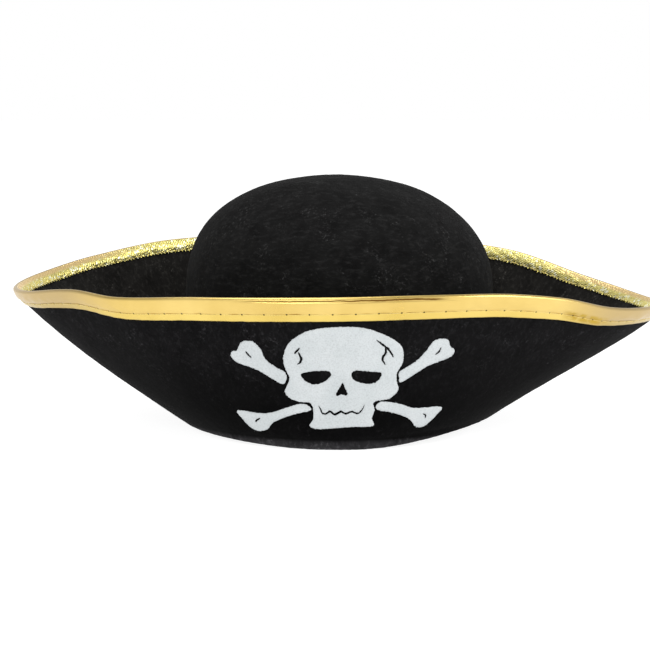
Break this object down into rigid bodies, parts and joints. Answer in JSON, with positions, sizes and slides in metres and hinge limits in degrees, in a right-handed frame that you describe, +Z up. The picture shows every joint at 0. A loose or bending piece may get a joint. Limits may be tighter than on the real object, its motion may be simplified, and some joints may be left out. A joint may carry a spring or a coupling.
{
  "type": "pirate hat",
  "caption": "Felt pirate hat with a domed crown, a brim turned up front and back into side points, gold ribbon edging and a skull and crossbones print.",
  "frame": {"origin": "centre of the head opening, on the surface the hat rests on", "axes": "+Z up, -Y the front with the print, +X the right-hand point of the brim for someone facing the front"},
  "size_m": [0.3854, 0.2814, 0.1456],
  "materials": {
    "black_felt": "matt pressed felt",
    "black_thread": "twisted thread",
    "black_ribbon": "ribbed grosgrain ribbon",
    "gold_ribbon": "metallic foil ribbon",
    "gold_thread": "twisted thread",
    "white_ink": "matt screen-print ink soaked into felt",
    "white_satin": "satin ribbon"
  },
  "bodies": {
    "hat": {"crown": "black_felt", "brim": "black_felt", "headline_seam_thread": "black_thread", "sweatband": "black_ribbon", "sweatband_stitch_thread": "black_thread", "gold_binding": "gold_ribbon", "binding_needle_thread": "gold_thread", "binding_bobbin_thread": "gold_thread", "skull_print": "white_ink", "bone_print_upper_left": "white_ink", "bone_print_upper_right": "white_ink", "bone_print_lower_left": "white_ink", "bone_print_lower_right": "white_ink", "care_label_stitches": "black_thread"},
    "care_label": {"care_label": "white_satin"}
  },
  "joints": [
    {"name": "care_label_swing", "type": "hinge", "parent": "hat", "child": "care_label", "pos_m": [0, 0.0985, 0.028], "axis": [-1, 0, 0], "range_deg": [0, 90]}
  ]
}
